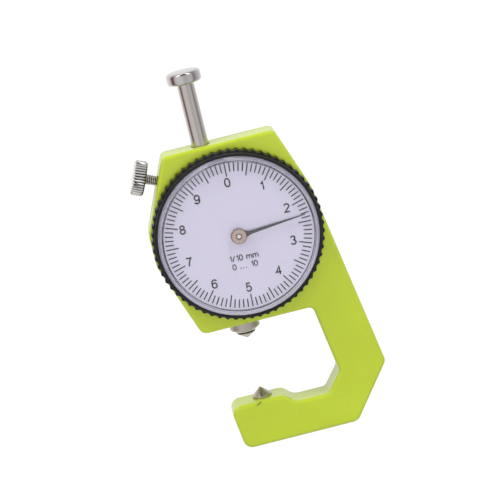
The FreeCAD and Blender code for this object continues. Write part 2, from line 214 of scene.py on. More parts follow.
def made(name, vertices, faces, place, finish, crease=35, painted_shade=None):
    """A closed mesh object with outward faces, smooth but for edges sharper than the crease.

    The darkening function maps a vertex, before it is placed, to 0 for none or 1 for dark: shade painted into the
    colour.
    """
    mesh = plain_mesh(name, [place @ Vector(v) for v in vertices], faces)
    # The attribute holds painted shade, which the finishes mix into their colour.
    if painted_shade:
        layer = mesh.attributes.new("painted_shade", "FLOAT", "POINT")
        layer.data.foreach_set("value", [painted_shade(v) for v in vertices])
    work = bmesh.new()
    work.from_mesh(mesh)
    bmesh.ops.remove_doubles(work, verts=work.verts, dist=1e-8)
    bmesh.ops.recalc_face_normals(work, faces=work.faces)
    work.to_mesh(mesh)
    work.free()
    mesh.materials.append(finish)
    mesh.polygons.foreach_set("use_smooth", [True] * len(mesh.polygons))
    mesh.set_sharp_from_angle(angle=math.radians(crease))
    piece = linked(name, mesh)
    print(name, len(mesh.polygons), "faces")
    return piece


def stands_for(piece, node):
    """The piece rides on the node's body and is shown in its place."""
    body = next(b for b, members in frame["record"]["behaviour"]["bodies"].items() if node in members)
    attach(piece, body)
    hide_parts(node)
    return piece


def turned(name, profile, axis, finish, node, segments=96, ripple=None, painted_shade=None):
    """A piece spun from its profile on an axis, shown in its node's place."""
    vertices, faces = spun(profile, segments, ripple)
    piece = made(name, vertices, faces, on_axis(axis), finish, painted_shade=painted_shade)
    return stands_for(piece, node)


# %% [markdown]
# ## Helpers for finishes
#
# Colours are written the way a paint chip is read, as sRGB hex, and one function turns them into the
# linear light that the renderer works in. One more function adds a node with its settings and links, so
# each finish below reads as a short list of what the real surface has.


# %% Colour and node helpers
def linear(code, alpha=1.0):
    channels = [int(code[i:i + 2], 16) / 255 for i in (0, 2, 4)]
    return [c / 12.92 if c <= 0.04045 else ((c + 0.055) / 1.055) ** 2.4 for c in channels] + [alpha]


def add(tree, kind, inputs=None, **settings):
    """A node with its settings, whose inputs are values or other nodes' sockets."""
    node = tree.nodes.new(kind)
    for name, value in settings.items():
        setattr(node, name, value)
    for key, value in (inputs or {}).items():
        if isinstance(value, bpy.types.NodeSocket):
            tree.links.new(value, node.inputs[key])
        else:
            node.inputs[key].default_value = value
    return node


def per_mm(size):
    """Noise scale, in cells per metre, for a feature of this size in millimetres."""
    return 1 / (size * MM)


def blend(tree, share, first, second):
    """The colour socket of a mix from first to second."""
    return add(tree, "ShaderNodeMix", {
        "Factor": share, "A": first, "B": second}, data_type="RGBA").outputs[2]


def ranged(tree, value, low, high, start=0.0, end=1.0):
    """The socket of a value that goes from low to high while its source goes from start to end."""
    return add(tree, "ShaderNodeMapRange", {
        "Value": value, "From Min": start, "From Max": end, "To Min": low, "To Max": high}).outputs[0]


def noise_at(tree, where, size, detail):
    """The socket of a noise whose features are this size in millimetres."""
    return add(tree, "ShaderNodeTexNoise", {
        "Vector": where, "Scale": per_mm(size), "Detail": detail}).outputs["Fac"]


def maths(tree, operation, first, second=0.0):
    """The socket of a sum, product or other operation on two values or sockets."""
    return add(tree, "ShaderNodeMath", {0: first, 1: second}, operation=operation).outputs[0]


def dress(tree, shader, colour, roughness, relief=None, strength=0.1, depth=0.0):
    """Give the shader its colour and roughness, and a relief of this depth in metres if there is one."""
    tree.links.new(colour, shader.inputs["Base Color"])
    tree.links.new(roughness, shader.inputs["Roughness"])
    if relief is not None:
        bump = add(tree, "ShaderNodeBump", {"Height": relief, "Strength": strength, "Distance": depth})
        tree.links.new(bump.outputs["Normal"], shader.inputs["Normal"])


def show_mixed(tree, share, first, second):
    """Put a mix of two shaders in the place of the first one."""
    mix = add(tree, "ShaderNodeMixShader", {0: share, 1: first.outputs[0], 2: second.outputs[0]})
    output = next(node for node in tree.nodes if node.type == "OUTPUT_MATERIAL")
    tree.links.new(mix.outputs[0], output.inputs["Surface"])


def new_finish(name, **surface):
    """A material with one Principled shader, and its tree, shader and object coordinates."""
    material = bpy.data.materials.new(name)
    material.use_nodes = True
    tree = material.node_tree
    tree.nodes.clear()
    shader = add(tree, "ShaderNodeBsdfPrincipled", surface)
    add(tree, "ShaderNodeOutputMaterial", {"Surface": shader.outputs["BSDF"]})
    where = add(tree, "ShaderNodeTexCoord").outputs["Object"]
    return material, tree, shader, where


# %% [markdown]
# ## Lime paint on a zinc casting
#
# The body is sprayed with a satin lime enamel straight onto the casting. Close up it isn't flat: the
# film pulls into a faint orange peel about half a millimetre across, its colour drifts a little over
# the slab, and dust leaves pin-head specks. One small chip by the anvil pad shows the grey primer.

# %% Lime enamel
front_face = 4.25           # forward height of the casting's front, in mm
chip_place = (-1.2, 10.1)   # x and z of the scratch on the foot
chip_half_length = 0.9
chip_half_width = 0.28
bore_radius = 2.22          # paint ends here, round the plunger


def lime_enamel():
    material, tree, shader, where = new_finish("satin_lime_enamel", Roughness=0.42, IOR=1.5)
    shader.inputs["Coat Weight"].default_value = 0.75
    shader.inputs["Coat Roughness"].default_value = 0.22
    tone = blend(tree, noise_at(tree, where, 14, 3.0), linear("AEC019"), linear("C0D226"))
    upright = add(tree, "ShaderNodeMapping", {"Vector": where, "Rotation": (math.radians(-90), 0, 0)})
    cells = add(tree, "ShaderNodeTexVoronoi", {
        "Vector": upright.outputs[0], "Scale": per_mm(9)}, voronoi_dimensions="2D")
    speck = ranged(tree, cells.outputs["Distance"], 0.45, 0.0, 0.008, 0.02)
    return material, tree, shader, where, blend(tree, speck, tone, linear("6E7430"))


def with_chip(tree, where, colour):
    """A slanting scratch through to the primer on the front face, as colour and as a mask."""
    place = add(tree, "ShaderNodeMapping", {
        "Vector": where, "Location": (chip_place[0] * MM, -front_face * MM, chip_place[1] * MM),
        "Rotation": (0, math.radians(-24), 0),
        "Scale": (chip_half_length * MM, 1 * MM, chip_half_width * MM)}, vector_type="TEXTURE")
    ragged = add(tree, "ShaderNodeTexNoise", {"Vector": place.outputs[0], "Scale": 2.2, "Detail": 4.0})
    far = add(tree, "ShaderNodeVectorMath", {0: place.outputs[0]}, operation="LENGTH")
    rough_far = add(tree, "ShaderNodeMath", {
        0: ragged.outputs["Fac"], 1: 1.2, 2: far.outputs["Value"]}, operation="MULTIPLY_ADD")
    mask = ranged(tree, rough_far.outputs[0], 0.7, 0.0, 1.3, 1.7)
    return blend(tree, mask, colour, linear("5F6440")), mask


def with_bare_bore(tree, where, colour):
    """The drilled bore for the plunger is unpainted, and darkened past bare metal with painted shade."""
    flat = add(tree, "ShaderNodeVectorMath", {0: where, 1: (1, 1, 0)}, operation="MULTIPLY")
    radius = add(tree, "ShaderNodeVectorMath", {0: flat.outputs[0]}, operation="LENGTH")
    # Painted shade: near black inside the bore's radius.
    bore_shade = ranged(tree, radius.outputs["Value"], 1.0, 0.0, bore_radius * MM, (bore_radius + 0.06) * MM)
    return blend(tree, bore_shade, colour, linear("26251F"))


def lime_enamel_finish():
    material, tree, shader, where, colour = lime_enamel()
    colour = with_bare_bore(tree, where, colour)
    colour, mask = with_chip(tree, where, colour)
    peel = noise_at(tree, where, 0.7, 2.0)
    film = add(tree, "ShaderNodeMath", {0: mask, 1: -1.0, 2: peel}, operation="MULTIPLY_ADD").outputs[0]
    dress(tree, shader, colour, ranged(tree, peel, 0.38, 0.5), film, strength=0.12, depth=0.00012)
    return material


lime = lime_enamel_finish()
print("finish:", lime.name)

# %% [markdown]
# ## Plastics and the crystal
#
# The bezel is moulded in black ABS and keeps a low satin shine. The crystal is a moulded acrylic cup.
# Glass that casts a black shadow would put out the dial under it, so shadow and bounce rays are let
# straight through, which is what a thin clear sheet does to light anyway.


# %% Black ABS and clear acrylic
def black_abs_finish():
    material, tree, shader, where = new_finish("satin_black_abs", IOR=1.53)
    shader.inputs["Specular IOR Level"].default_value = 0.3
    grain = noise_at(tree, where, 0.25, 3.0)
    tone = blend(tree, grain, linear("101012"), linear("18181B"))
    dress(tree, shader, tone, ranged(tree, grain, 0.36, 0.5), grain, strength=0.1, depth=0.00003)
    return material


def clear_acrylic_finish():
    """Clear acrylic. Light for shadows and bounces passes straight through, so the dial stays bright."""
    material, tree, shader, where = new_finish("clear_acrylic", IOR=1.49, Roughness=0.02)
    shader.inputs["Transmission Weight"].default_value = 1.0
    # Painted reflection and tint: the darkening attribute greys the outer edge, for the black bezel seen in it,
    # and darkens the inner corner.
    edge = add(tree, "ShaderNodeAttribute", attribute_name="painted_shade").outputs["Fac"]
    tint = blend(tree, edge, linear("FBFAFF"), linear("262529"))
    scuffs = noise_at(tree, where, 3, 6.0)
    dress(tree, shader, tint, ranged(tree, scuffs, 0.01, 0.05, 0.5, 0.8))
    clear = add(tree, "ShaderNodeBsdfTransparent")
    ray = add(tree, "ShaderNodeLightPath").outputs
    passing = maths(tree, "MAXIMUM", ray["Is Shadow Ray"], ray["Is Diffuse Ray"])
    show_mixed(tree, passing, shader, clear)
    return material


black_abs = black_abs_finish()
acrylic = clear_acrylic_finish()
print("finishes:", black_abs.name, acrylic.name)

# %% [markdown]
# ## Metals
#
# Each metal is one recipe with its own colour, polish and lay. The lay is the direction of the tool
# marks: rings round a turned cone, long scratches on a ground stem. Real tool marks are a few hundredths
# of a millimetre apart, too fine to show here, so they are drawn about a tenth apart.


# %% One recipe for the metals
def metal_finish(name, code, rough, stretch, mark=0.1, depth=0.000004, dark=0.88):
    """Metal whose marks are noise stretched by (x, y, z); a small stretch makes long marks that way."""
    material, tree, shader, where = new_finish(name, Metallic=1.0)
    lay = add(tree, "ShaderNodeMapping", {"Vector": where, "Scale": stretch})
    marks = noise_at(tree, lay.outputs[0], mark, 4.0)
    bright = linear(code)
    dull = [channel * dark for channel in bright[:3]] + [1.0]
    # Painted shade: where the darkening attribute is set, the metal turns near black, for shade in gaps and
    # grooves.
    painted_shade = add(tree, "ShaderNodeAttribute", attribute_name="painted_shade").outputs["Fac"]
    colour = blend(tree, painted_shade, blend(tree, marks, dull, bright), linear("1E1C1B"))
    shine = ranged(tree, marks, rough * 0.75, rough * 1.3)
    dress(tree, shader, colour, shine, marks, strength=0.25, depth=depth)
    return material


ground_steel = metal_finish("ground_stainless_stem", "DCD5D1", 0.17, (1, 1, 0.015), mark=0.3, dark=0.8)
polished_chrome = metal_finish("polished_chrome_button", "D6D1D1", 0.08, (1, 1, 1), mark=0.8, dark=0.95)
nickel = metal_finish("bright_nickel_plate", "F0EDEC", 0.22, (1, 1, 1), mark=0.3)
turned_nickel = metal_finish("turned_nickel_cone", "D3CCC2", 0.45, (0.05, 0.05, 1), mark=0.12)
lapped_steel = metal_finish("lapped_tool_steel", "D0C7B6", 0.3, (1, 1, 0.1), mark=0.4, dark=0.7)
turned_brass = metal_finish("turned_brass", "C9A860", 0.25, (0.1, 0.1, 1), mark=0.12)
dial_brass = metal_finish("brushed_brass_plate", "C4A564", 0.3, (0.05, 1, 1), mark=0.12)
spring_steel = metal_finish("drawn_spring_steel", "A9A9AE", 0.22, (1, 1, 1), mark=0.2)
hub_bronze = metal_finish("champagne_hub_bronze", "B4A08F", 0.15, (1, 0.1, 1), mark=0.15)
print("metals ready")


# %% [markdown]
# ## Dial enamel, ink and the hand's lacquer
#
# The dial is a pressed plate with a cool, slightly violet white enamel, and the graduations are
# printed ink with a little thickness. The hand is blackened steel, a dark grey with a soft shine.


# %% Enamel, ink and lacquer
def coated_finish(name, code, rough, fleck, contrast=0.94):
    """Paint, ink or lacquer whose colour and shine vary a little over flecks of this size."""
    material, tree, shader, where = new_finish(name, IOR=1.5)
    noise = noise_at(tree, where, fleck, 4.0)
    colour = linear(code)
    low = [channel * contrast for channel in colour[:3]] + [1.0]
    dress(tree, shader, blend(tree, noise, low, colour), ranged(tree, noise, rough * 0.9, rough * 1.1))
    return material


dial_enamel = coated_finish("violet_white_enamel", "CCC8D9", 0.5, 2.0, contrast=0.985)
printing_ink = coated_finish("printing_ink", "0C0C0E", 0.6, 0.2)
black_steel = coated_finish("blackened_steel_hand", "28282D", 0.45, 0.3)
print("coatings ready")

# %% [markdown]
# ## Finishes for the pieces that keep their own shape
#
# The casting, the plates and the small parts inside the head already have the right shape. They only
# need the right surface, which goes into each object's material slot.

# %% Dress the kept pieces
kept_finishes = {
    "c_frame": lime,
    "top_bush": turned_brass,
    "spring_collar": nickel,
    "guide_pin": ground_steel,
    "bridge": dial_brass,
    "bridge_screws": ground_steel,
    "front_bearing": turned_brass,
    "rear_bearing": turned_brass,
    "arbor": ground_steel,
    "pinion": turned_brass,
    "dial_plate": dial_enamel,
    "bezel_clip": spring_steel,
    "lock_pad": turned_brass,
}
for node_name, finish in kept_finishes.items():
    slots = frame["nodes"][node_name].data.materials
    slots.clear()
    slots.append(finish)
print("dressed", len(kept_finishes), "pieces")

# %% [markdown]
# ## The knurled bezel
#
# The bezel is one ring: a low flange with 65 rounded scallops for the fingertips, and a smooth rim that
# holds the crystal. It is one profile spun round the dial's axis, and only the flange's outer corners
# ripple as they go round. Every ring has twelve points to a scallop, enough for a round crest.

# %% Bezel
scallops = 65
scallop_depth = 0.42
seat_bore = 17.1            # the ring turns on the casting's round seat
bezel_low, bezel_high = box_mm("bezel")
bezel_radius = (bezel_high.x - bezel_low.x) / 2
bezel_back = -bezel_high.y
bezel_top = -bezel_low.y
flange_top = bezel_back + 2.8
crystal_low, crystal_high = box_mm("crystal")
crystal_radius = (crystal_high.x - crystal_low.x) / 2
rim_radius = crystal_radius + 0.65


def scallop(point, angle):
    """How far the ring is cut back here: most midway between two crests, and nothing on the rim."""
    if point.x < rim_radius + 0.1:
        return 0.0
    share = min(1.0, (point.x - rim_radius) / (bezel_radius - rim_radius))
    wave = (1 + math.cos(scallops * angle)) / 2
    return -scallop_depth * share * (1 - wave ** 1.4)


bezel_profile = rounded([
    (seat_bore, bezel_back, 0.1),
    (bezel_radius, bezel_back, 0.15),
    (bezel_radius, flange_top, 0.3),
    (rim_radius + 0.12, flange_top, 0.06),
    (rim_radius, bezel_top - 0.2, 0.1),
    (rim_radius - 0.18, bezel_top, 0.1),
    (crystal_radius + 0.03, bezel_top, 0.08),
    (crystal_radius + 0.03, dial_face, 0),
    (dial_radius + 0.03, dial_face, 0),
    (dial_radius + 0.03, dial_face - 0.6, 0),
    (seat_bore, dial_face - 0.6, 0),
], steps=4)
turned("bezel_ring", bezel_profile, DIAL_AXIS, black_abs, "bezel",
       segments=scallops * 12, ripple=scallop)

# %% [markdown]
# ## The crystal
#
# The crystal is a cup: a flat window, a bevel round it and a wall that stands on the dial's edge. The
# bevel and the wall bend the light, so the rim of the dial shows there a second time. Next to the black
# bezel the wall looks grey, so its outer edge is tinted grey: a painted reflection of the bezel. The inner
# corner is tinted dark, which draws the thin dark line round the ticks.

# %% Crystal
crystal_top = -crystal_low.y
window_under = dial_face + 1.75
cup_radius = crystal_radius - 1.15
crystal_profile = rounded([
    (0, window_under, 0),
    (cup_radius, window_under, 0.2),
    (cup_radius, window_under - 0.25, 0),
    (cup_radius, dial_face, 0),
    (crystal_radius, dial_face, 0),
    (crystal_radius, crystal_top - 1.05, 0.1),
    (crystal_radius - 1.1, crystal_top, 0.15),
    (0, crystal_top, 0),
], closed=False, steps=4)


def crystal_grime(point):
    """Painted reflection of the bezel as a grey tint on the outer edge, and a dark tint in the inner corner."""
    radius = math.hypot(point.x, point.y)
    if abs(radius - cup_radius) < 0.18 and abs(point.z - window_under) < 0.22:
        return 1.0
    return 0.75 if radius > crystal_radius - 0.2 and point.z > dial_face + 0.5 else 0.0


turned("acrylic_crystal", crystal_profile, DIAL_AXIS, acrylic, "crystal",
       segments=400, painted_shade=crystal_grime)

# %% [markdown]
# ## The printed dial
#
# A hundred ticks stand round the dial, and every fifth one is longer. That is one rule repeated, so it
# suits Geometry Nodes: points on a circle, a small block on each, and a switch that picks its length
# from the point's index. The tree has its sizes as named inputs.


# %% A tree that lays out the ticks
def shape_tree(name, **sockets):
    """A Geometry Nodes tree with a geometry output and these inputs, and the inputs' sockets."""
    tree = bpy.data.node_groups.new(name, "GeometryNodeTree")
    tree.interface.new_socket(name="Geometry", in_out="OUTPUT", socket_type="NodeSocketGeometry")
    for key, kind in sockets.items():
        tree.interface.new_socket(name=key, in_out="INPUT", socket_type="NodeSocket" + kind)
    return tree, add(tree, "NodeGroupInput").outputs


def share_of_a_turn(tree, count):
    """Each point's index, and its angle when this many points share a full turn."""
    index = add(tree, "GeometryNodeInputIndex").outputs[0]
    return index, maths(tree, "MULTIPLY", index, maths(tree, "DIVIDE", 2 * math.pi, count))


def finish_shape(tree, geometry, material):
    """Make the copies real, give them their material and end the tree."""
    real = add(tree, "GeometryNodeRealizeInstances", {0: geometry}).outputs[0]
    coated = add(tree, "GeometryNodeSetMaterial", {"Geometry": real, "Material": material}).outputs[0]
    add(tree, "NodeGroupOutput", {0: coated})
    return tree


def tick_tree():
    tree, given = shape_tree(
        "dial_ticks", count="Int", every="Int", outer="Float", inner="Float", long_inner="Float",
        width="Float", height="Float", ink="Material")
    index, angle = share_of_a_turn(tree, given["count"])
    is_long = maths(tree, "LESS_THAN", maths(tree, "MODULO", index, given["every"]), 0.5)
    inner = add(tree, "ShaderNodeMix", {
        0: is_long, 2: given["inner"], 3: given["long_inner"]}, data_type="FLOAT").outputs[0]
    middle = maths(tree, "MULTIPLY", maths(tree, "ADD", given["outer"], inner), 0.5)
    right = maths(tree, "MULTIPLY", maths(tree, "SINE", angle), middle)
    up = maths(tree, "MULTIPLY", maths(tree, "COSINE", angle), middle)
    place = add(tree, "ShaderNodeCombineXYZ", {0: right, 1: up}).outputs[0]
    points = add(tree, "GeometryNodePoints", {"Count": given["count"], "Position": place}).outputs[0]
    block = add(tree, "GeometryNodeMeshCube", {"Size": (1, 1, 1)}).outputs[0]
    turn = add(tree, "ShaderNodeCombineXYZ", {2: maths(tree, "MULTIPLY", angle, -1)}).outputs[0]
    length = maths(tree, "SUBTRACT", given["outer"], inner)
    size = add(tree, "ShaderNodeCombineXYZ", {0: given["width"], 1: length, 2: given["height"]}).outputs[0]
    ticks = add(tree, "GeometryNodeInstanceOnPoints", {
        "Points": points, "Instance": block, "Rotation": turn, "Scale": size}).outputs[0]
    return finish_shape(tree, ticks, given["ink"])


# %% Run a tree and keep its plain mesh
def grown(name, tree, **inputs):
    """The mesh that a Geometry Nodes tree gives for these inputs, in millimetres."""
    carrier = linked(name, bpy.data.meshes.new(name))
    modifier = carrier.modifiers.new("nodes", "NODES")
    modifier.node_group = tree
    for item in tree.interface.items_tree:
        if item.in_out == "INPUT":
            modifier[item.identifier] = inputs[item.name]
    evaluated = carrier.evaluated_get(bpy.context.evaluated_depsgraph_get())
    mesh = bpy.data.meshes.new_from_object(evaluated)
    carrier.modifiers.remove(modifier)
    bpy.data.objects.remove(carrier)
    return mesh


ink_height = 0.05
tick_mesh = grown(
    "ticks", tick_tree(), count=100, every=5, outer=16.98, inner=15.02, long_inner=14.05,
    width=0.27, height=ink_height, ink=printing_ink)
print("tick faces:", len(tick_mesh.polygons))

# %% [markdown]
# The numerals 0 to 9 stand beside every tenth tick. They are drawn the way a pen would draw them: each
# one is a few strokes in a box one unit high, and a stroke is a flat ribbon of ink along its path. Below
# the hub the plate says that it counts tenths of a millimetre, from 0 to 10.


# %% Strokes of the numerals
def bow(x, y, across, tall, start, finish, steps=20):
    """Part of an ellipse about (x, y), from one angle to another, in degrees."""
    angles = [math.radians(start + (finish - start) * step / steps) for step in range(steps + 1)]
    return [(x + across * math.cos(angle), y + tall * math.sin(angle)) for angle in angles]


SIX = [bow(0.26, 0.31, 0.24, 0.31, 0, 360),
       bow(0.29, 0.68, 0.27, 0.32, 28, 165) + [(0.02, 0.5), (0.02, 0.31)]]
ARCH = bow(0.20, 0.48, 0.20, 0.22, 180, 0, 10)
GLYPHS = {
    "0": [bow(0.25, 0.5, 0.25, 0.5, 0, 360, 32)],
    "1": [[(0.32, 0.0), (0.32, 1.0), (0.25, 0.87), (0.08, 0.74)]],
    "2": [bow(0.26, 0.74, 0.24, 0.26, 170, -38) + [(0.0, 0.0), (0.52, 0.0)]],
    "3": [bow(0.24, 0.76, 0.22, 0.24, 165, -90), bow(0.25, 0.26, 0.25, 0.26, 90, -165)],
    "4": [[(0.38, 0.0), (0.38, 1.0), (0.0, 0.31), (0.54, 0.31)]],
    "5": [[(0.47, 1.0), (0.12, 1.0), (0.06, 0.5)] + bow(0.25, 0.32, 0.25, 0.32, 130, -158)],
    "6": SIX,
    "7": [[(0.0, 1.0), (0.5, 1.0), (0.34, 0.68), (0.23, 0.32), (0.18, 0.0)]],
    "8": [bow(0.25, 0.76, 0.21, 0.24, 0, 360), bow(0.25, 0.26, 0.25, 0.26, 0, 360)],
    "9": [[(0.52 - x, 1.0 - y) for x, y in stroke] for stroke in SIX],
    "m": [[(0.0, 0.0), (0.0, 0.72)], ARCH + [(0.40, 0.0)],
          [(x + 0.40, y) for x, y in ARCH] + [(0.80, 0.0)]],
    "/": [[(0.0, 0.0), (0.3, 1.0)]],
    ".": [[(0.0, 0.08), (0.15, 0.08)]],
    " ": [],
}


def ribbon(path, width, low, high):
    """Vertices and faces of an ink stroke along a path. A path that ends where it starts is a loop."""
    points = [Vector(point) for point in path]
    loop = (points[0] - points[-1]).length < 1e-6
    if loop:
        points.pop()
    count = len(points)
    vertices = []
    for i, point in enumerate(points):
        before = points[i - 1] if loop or i else point
        after = points[(i + 1) % count] if loop or i < count - 1 else point
        way_in = (point - before).normalized() if before != point else (after - point).normalized()
        way_out = (after - point).normalized() if after != point else way_in
        along = (way_in + way_out).normalized()
        side = Vector((-along.y, along.x)) * (width / 2 / max(0.45, along.dot(way_in)))
        for edge in (point + side, point - side):
            vertices.append(Vector((edge.x, edge.y, low)))
            vertices.append(Vector((edge.x, edge.y, high)))
    faces = []
    corner = (0, 1, 3, 2)
    for i in range(count if loop else count - 1):
        a = 4 * i
        b = 4 * ((i + 1) % count)
        faces.extend((a + corner[k], a + corner[k - 1], b + corner[k - 1], b + corner[k]) for k in range(4))
    if not loop:
        faces.append((0, 1, 3, 2))
        faces.append(tuple(4 * (count - 1) + k for k in (0, 2, 3, 1)))
    return vertices, faces


# %% Lettering
numeral_across = 12.85      # half width and half height of the oval that the numerals stand on
numeral_up = 12.5
numeral_height = 1.9
numeral_stroke = 0.33
note_height = 1.25
note_stroke = 0.22
numeral_shift = Vector((-0.14, 0.14))   # the numerals are printed slightly off the middle
letter_gap = 0.25
glyph_width = 1.18


def lettering(text, height, stroke, x, y):
    """Meshes of a word centred on (x, y) of the dial, in millimetres."""
    widths = [glyph_width * max([p[0] for path in GLYPHS[c] for p in path] + [0.22]) for c in text]
    pen = -(sum(widths) + letter_gap * (len(text) - 1)) / 2
    meshes = []
    for character, width in zip(text, widths):
        for path in GLYPHS[character]:
            placed = [(x + (pen + a * glyph_width) * height, y + (b - 0.5) * height) for a, b in path]
            meshes.append(plain_mesh("ink", *ribbon(placed, stroke, -ink_height / 2, ink_height / 2)))
        pen += width + letter_gap
    return meshes


dial_meshes = [tick_mesh]
for number in range(10):
    turn = number * 2 * math.pi / 10
    across = numeral_across * math.sin(turn) + numeral_shift.x
    up = numeral_up * math.cos(turn) + numeral_shift.y
    dial_meshes += lettering(str(number), numeral_height, numeral_stroke, across, up)
for line, across, up in (("1/10 mm", 0.16, -5.14), ("0 ... 10", 0.1, -7.11)):
    dial_meshes += lettering(line, note_height, note_stroke, across, up)
print("printed groups:", len(dial_meshes))

# %% Join the printing and lay it on the plate
zero_turn = math.radians(2.15)   # how far clockwise the dial has been set


def joined(name, meshes, place, finish, node, crease=35, painted_shade=None):
    """One piece from several meshes built about Z, shown in its node's place."""
    vertices = []
    faces = []
    for mesh in meshes:
        first = len(vertices)
        vertices.extend(v.co.copy() for v in mesh.vertices)
        faces.extend(tuple(first + i for i in polygon.vertices) for polygon in mesh.polygons)
    return stands_for(made(name, vertices, faces, place, finish, crease, painted_shade), node)


def dial_place(height):
    """Matrix from dial coordinates (right, up, forward) to the model, in metres."""
    facing = Matrix(((1, 0, 0, dial_x), (0, 0, -1, -height), (0, 1, 0, dial_z), (0, 0, 0, 1)))
    return Matrix.Scale(MM, 4) @ facing @ Matrix.Rotation(-zero_turn, 4, "Z")


joined("dial_printing", dial_meshes, dial_place(dial_face + ink_height / 2), printing_ink,
       "dial_print")

# %% [markdown]
# ## The hand
#
# The hand is a flat blade that widens where it meets the hub. Seen from the middle its outline is met
# only once in every direction, so each outline point pairs with one on the hole for the arbor.

# %% Hand
arbor_end_radius = 0.45
hand_length = 16.05
hand_boss_radius = 1.3
hand_turn = math.radians(85.6)   # clockwise from straight up
blade_half_widths = ((1.5, 0.95), (1.9, 0.74), (2.3, 0.57), (2.8, 0.46), (3.3, 0.41), (hand_length, 0.09))
hand_low, hand_high = box_mm("hand")


def blade_outline():
    """Outline of the hand in dial coordinates, pointing along +X."""
    upper = [(along, half) for along, half in blade_half_widths]
    back = bow(0, 0, hand_boss_radius, hand_boss_radius, 60, 300, 24)
    return [(x, -y) for x, y in upper] + [(x, y) for x, y in reversed(upper)] + back


def holed_plate(outline, hole, low, high):
    """A plate with a round hole, from an outline that is star-shaped about the hole."""
    vertices = []
    for x, y in outline:
        far = math.hypot(x, y)
        for px, py in ((x, y), (x / far * hole, y / far * hole)):
            vertices += [Vector((px, py, low)), Vector((px, py, high))]
    faces = []
    for i in range(len(outline)):
        a = 4 * i
        b = 4 * ((i + 1) % len(outline))
        for first, second in ((0, 1), (1, 3), (3, 2), (2, 0)):
            faces.append((a + first, b + first, b + second, a + second))
    return vertices, faces


hand_mesh = plain_mesh("blade", *holed_plate(blade_outline(), arbor_end_radius, -0.1, 0.1))
pointing = Matrix.Rotation(math.pi / 2 - hand_turn + zero_turn, 4, "Z")
hand_place = dial_place(-(hand_low.y + hand_high.y) / 2) @ pointing
joined("flared_hand", [hand_mesh], hand_place, black_steel, "hand")

# %% [markdown]
# ## The hub of the hand
#
# The hub is a little turned boss with a rounded rim, pressed on the arbor. The arbor's bright end shows
# in its middle. The recess round that end is darkened with painted shade, and the rim a little, with a
# painted dark reflection.

# %% Hand hub
hub_low, hub_high = box_mm("hand_hub")
hub_radius = (hub_high.x - hub_low.x) / 2
hub_top = -hub_low.y
hub_bore = arbor_end_radius + 0.01
hub_profile = rounded([
    (hub_bore, -hub_high.y, 0),
    (hub_bore, hub_top - 0.30, 0),
    (0.58, hub_top - 0.30, 0),
    (0.68, hub_top - 0.04, 0.03),
    (hub_radius - 0.5, hub_top, 0.1),
    (hub_radius, hub_top - 0.1, 0.42),
    (hub_radius, -hub_high.y, 0),
], steps=6)


def hub_grime(point):
    """Painted shade in the recess round the arbor's end, and a painted dark reflection round the rim."""
    radius = math.hypot(point.x, point.y)
    if point.z < hub_top - 0.2 and radius < 0.66:
        return 0.9
    return 0.35 if radius > hub_radius - 0.14 else 0.0


turned("turned_hub", hub_profile, DIAL_AXIS, hub_bronze, "hand_hub", painted_shade=hub_grime)

# %% [markdown]
# ## The plunger and its rack
#
# The plunger is a ground steel rod with rack teeth cut into one side. A rod is a stack of rings, so the
# teeth need no cutting tool: where a gap is, the ring's points stop at the gap's depth.

# %% Plunger with rack teeth
rack_pitch = 0.625
stem_radius = 2.0
uncut = stem_radius + 0.1   # a ring that may reach this far in x is a whole circle
gap_floor = 1.57
rack_low = dial_z - 2.5 * rack_pitch
rack_count = 25
# length of the rod's lowest end that is painted dark, as shade in the gap above the point
shaded_end = 0.3
stem_low, stem_high = box_mm("plunger")
tooth_steps = ((0.0, uncut), (0.26, uncut), (0.38, gap_floor), (0.74, gap_floor), (0.86, uncut))


def stem_rings():
    """(height, greatest x) of every ring from the lower end to the button."""
    lower_end = (stem_low.z, stem_low.z + shaded_end, stem_low.z + shaded_end + 0.05, rack_low - 1)
    rings = [(height, uncut) for height in lower_end]
    for tooth in range(rack_count):
        rings += [(rack_low + (tooth + share) * rack_pitch, limit) for share, limit in tooth_steps]
    return rings + [(rack_low + rack_count * rack_pitch + 1, uncut), (stem_high.z - 1.8, uncut)]


def rod_of_rings(rings, radius, segments=96):
    """A rod of circles, each one flat where it would reach past its greatest x."""
    vertices = [Vector((min(point.x, limit), point.y, height)) for height, limit in rings
                for point in circle(height, lambda angle: radius, segments)]
    return vertices, skinned(len(rings), segments)


vertices, faces = rod_of_rings(stem_rings(), stem_radius)
# The rod's lowest end gets painted shade, for the dark gap between the bush and the point.
stem = made(
    "plunger_stem", vertices, faces, on_axis(PLUNGER_AXIS), ground_steel,
    painted_shade=lambda v: 1.0 if v.z < stem_low.z + shaded_end + 0.01 else 0.0)
stands_for(stem, "plunger")

# %% [markdown]
# ## Button, bush, point and anvil
#
# Four turned pieces on the plunger's line: the polished button, the conical bush under the head, the
# moving point below it and the fixed point on the foot. All are profiles with fine roundings.

# %% Turned pieces on the plunger's line
button_radius = 4.0
button_low, button_high = box_mm("button")
button_profile = rounded([
    (0, button_low.z, 0),
    (button_radius, button_low.z, 0.7),
    (button_radius, button_high.z, 0.85),
    (0, button_high.z, 0),
], closed=False, steps=10)
# The top face is darkened a little: painted shade that tones down its reflection.
turned("push_button", button_profile, PLUNGER_AXIS, polished_chrome, "button",
       segments=128, painted_shade=lambda v: 0.2 if v.z > button_high.z - 0.02 else 0.0)

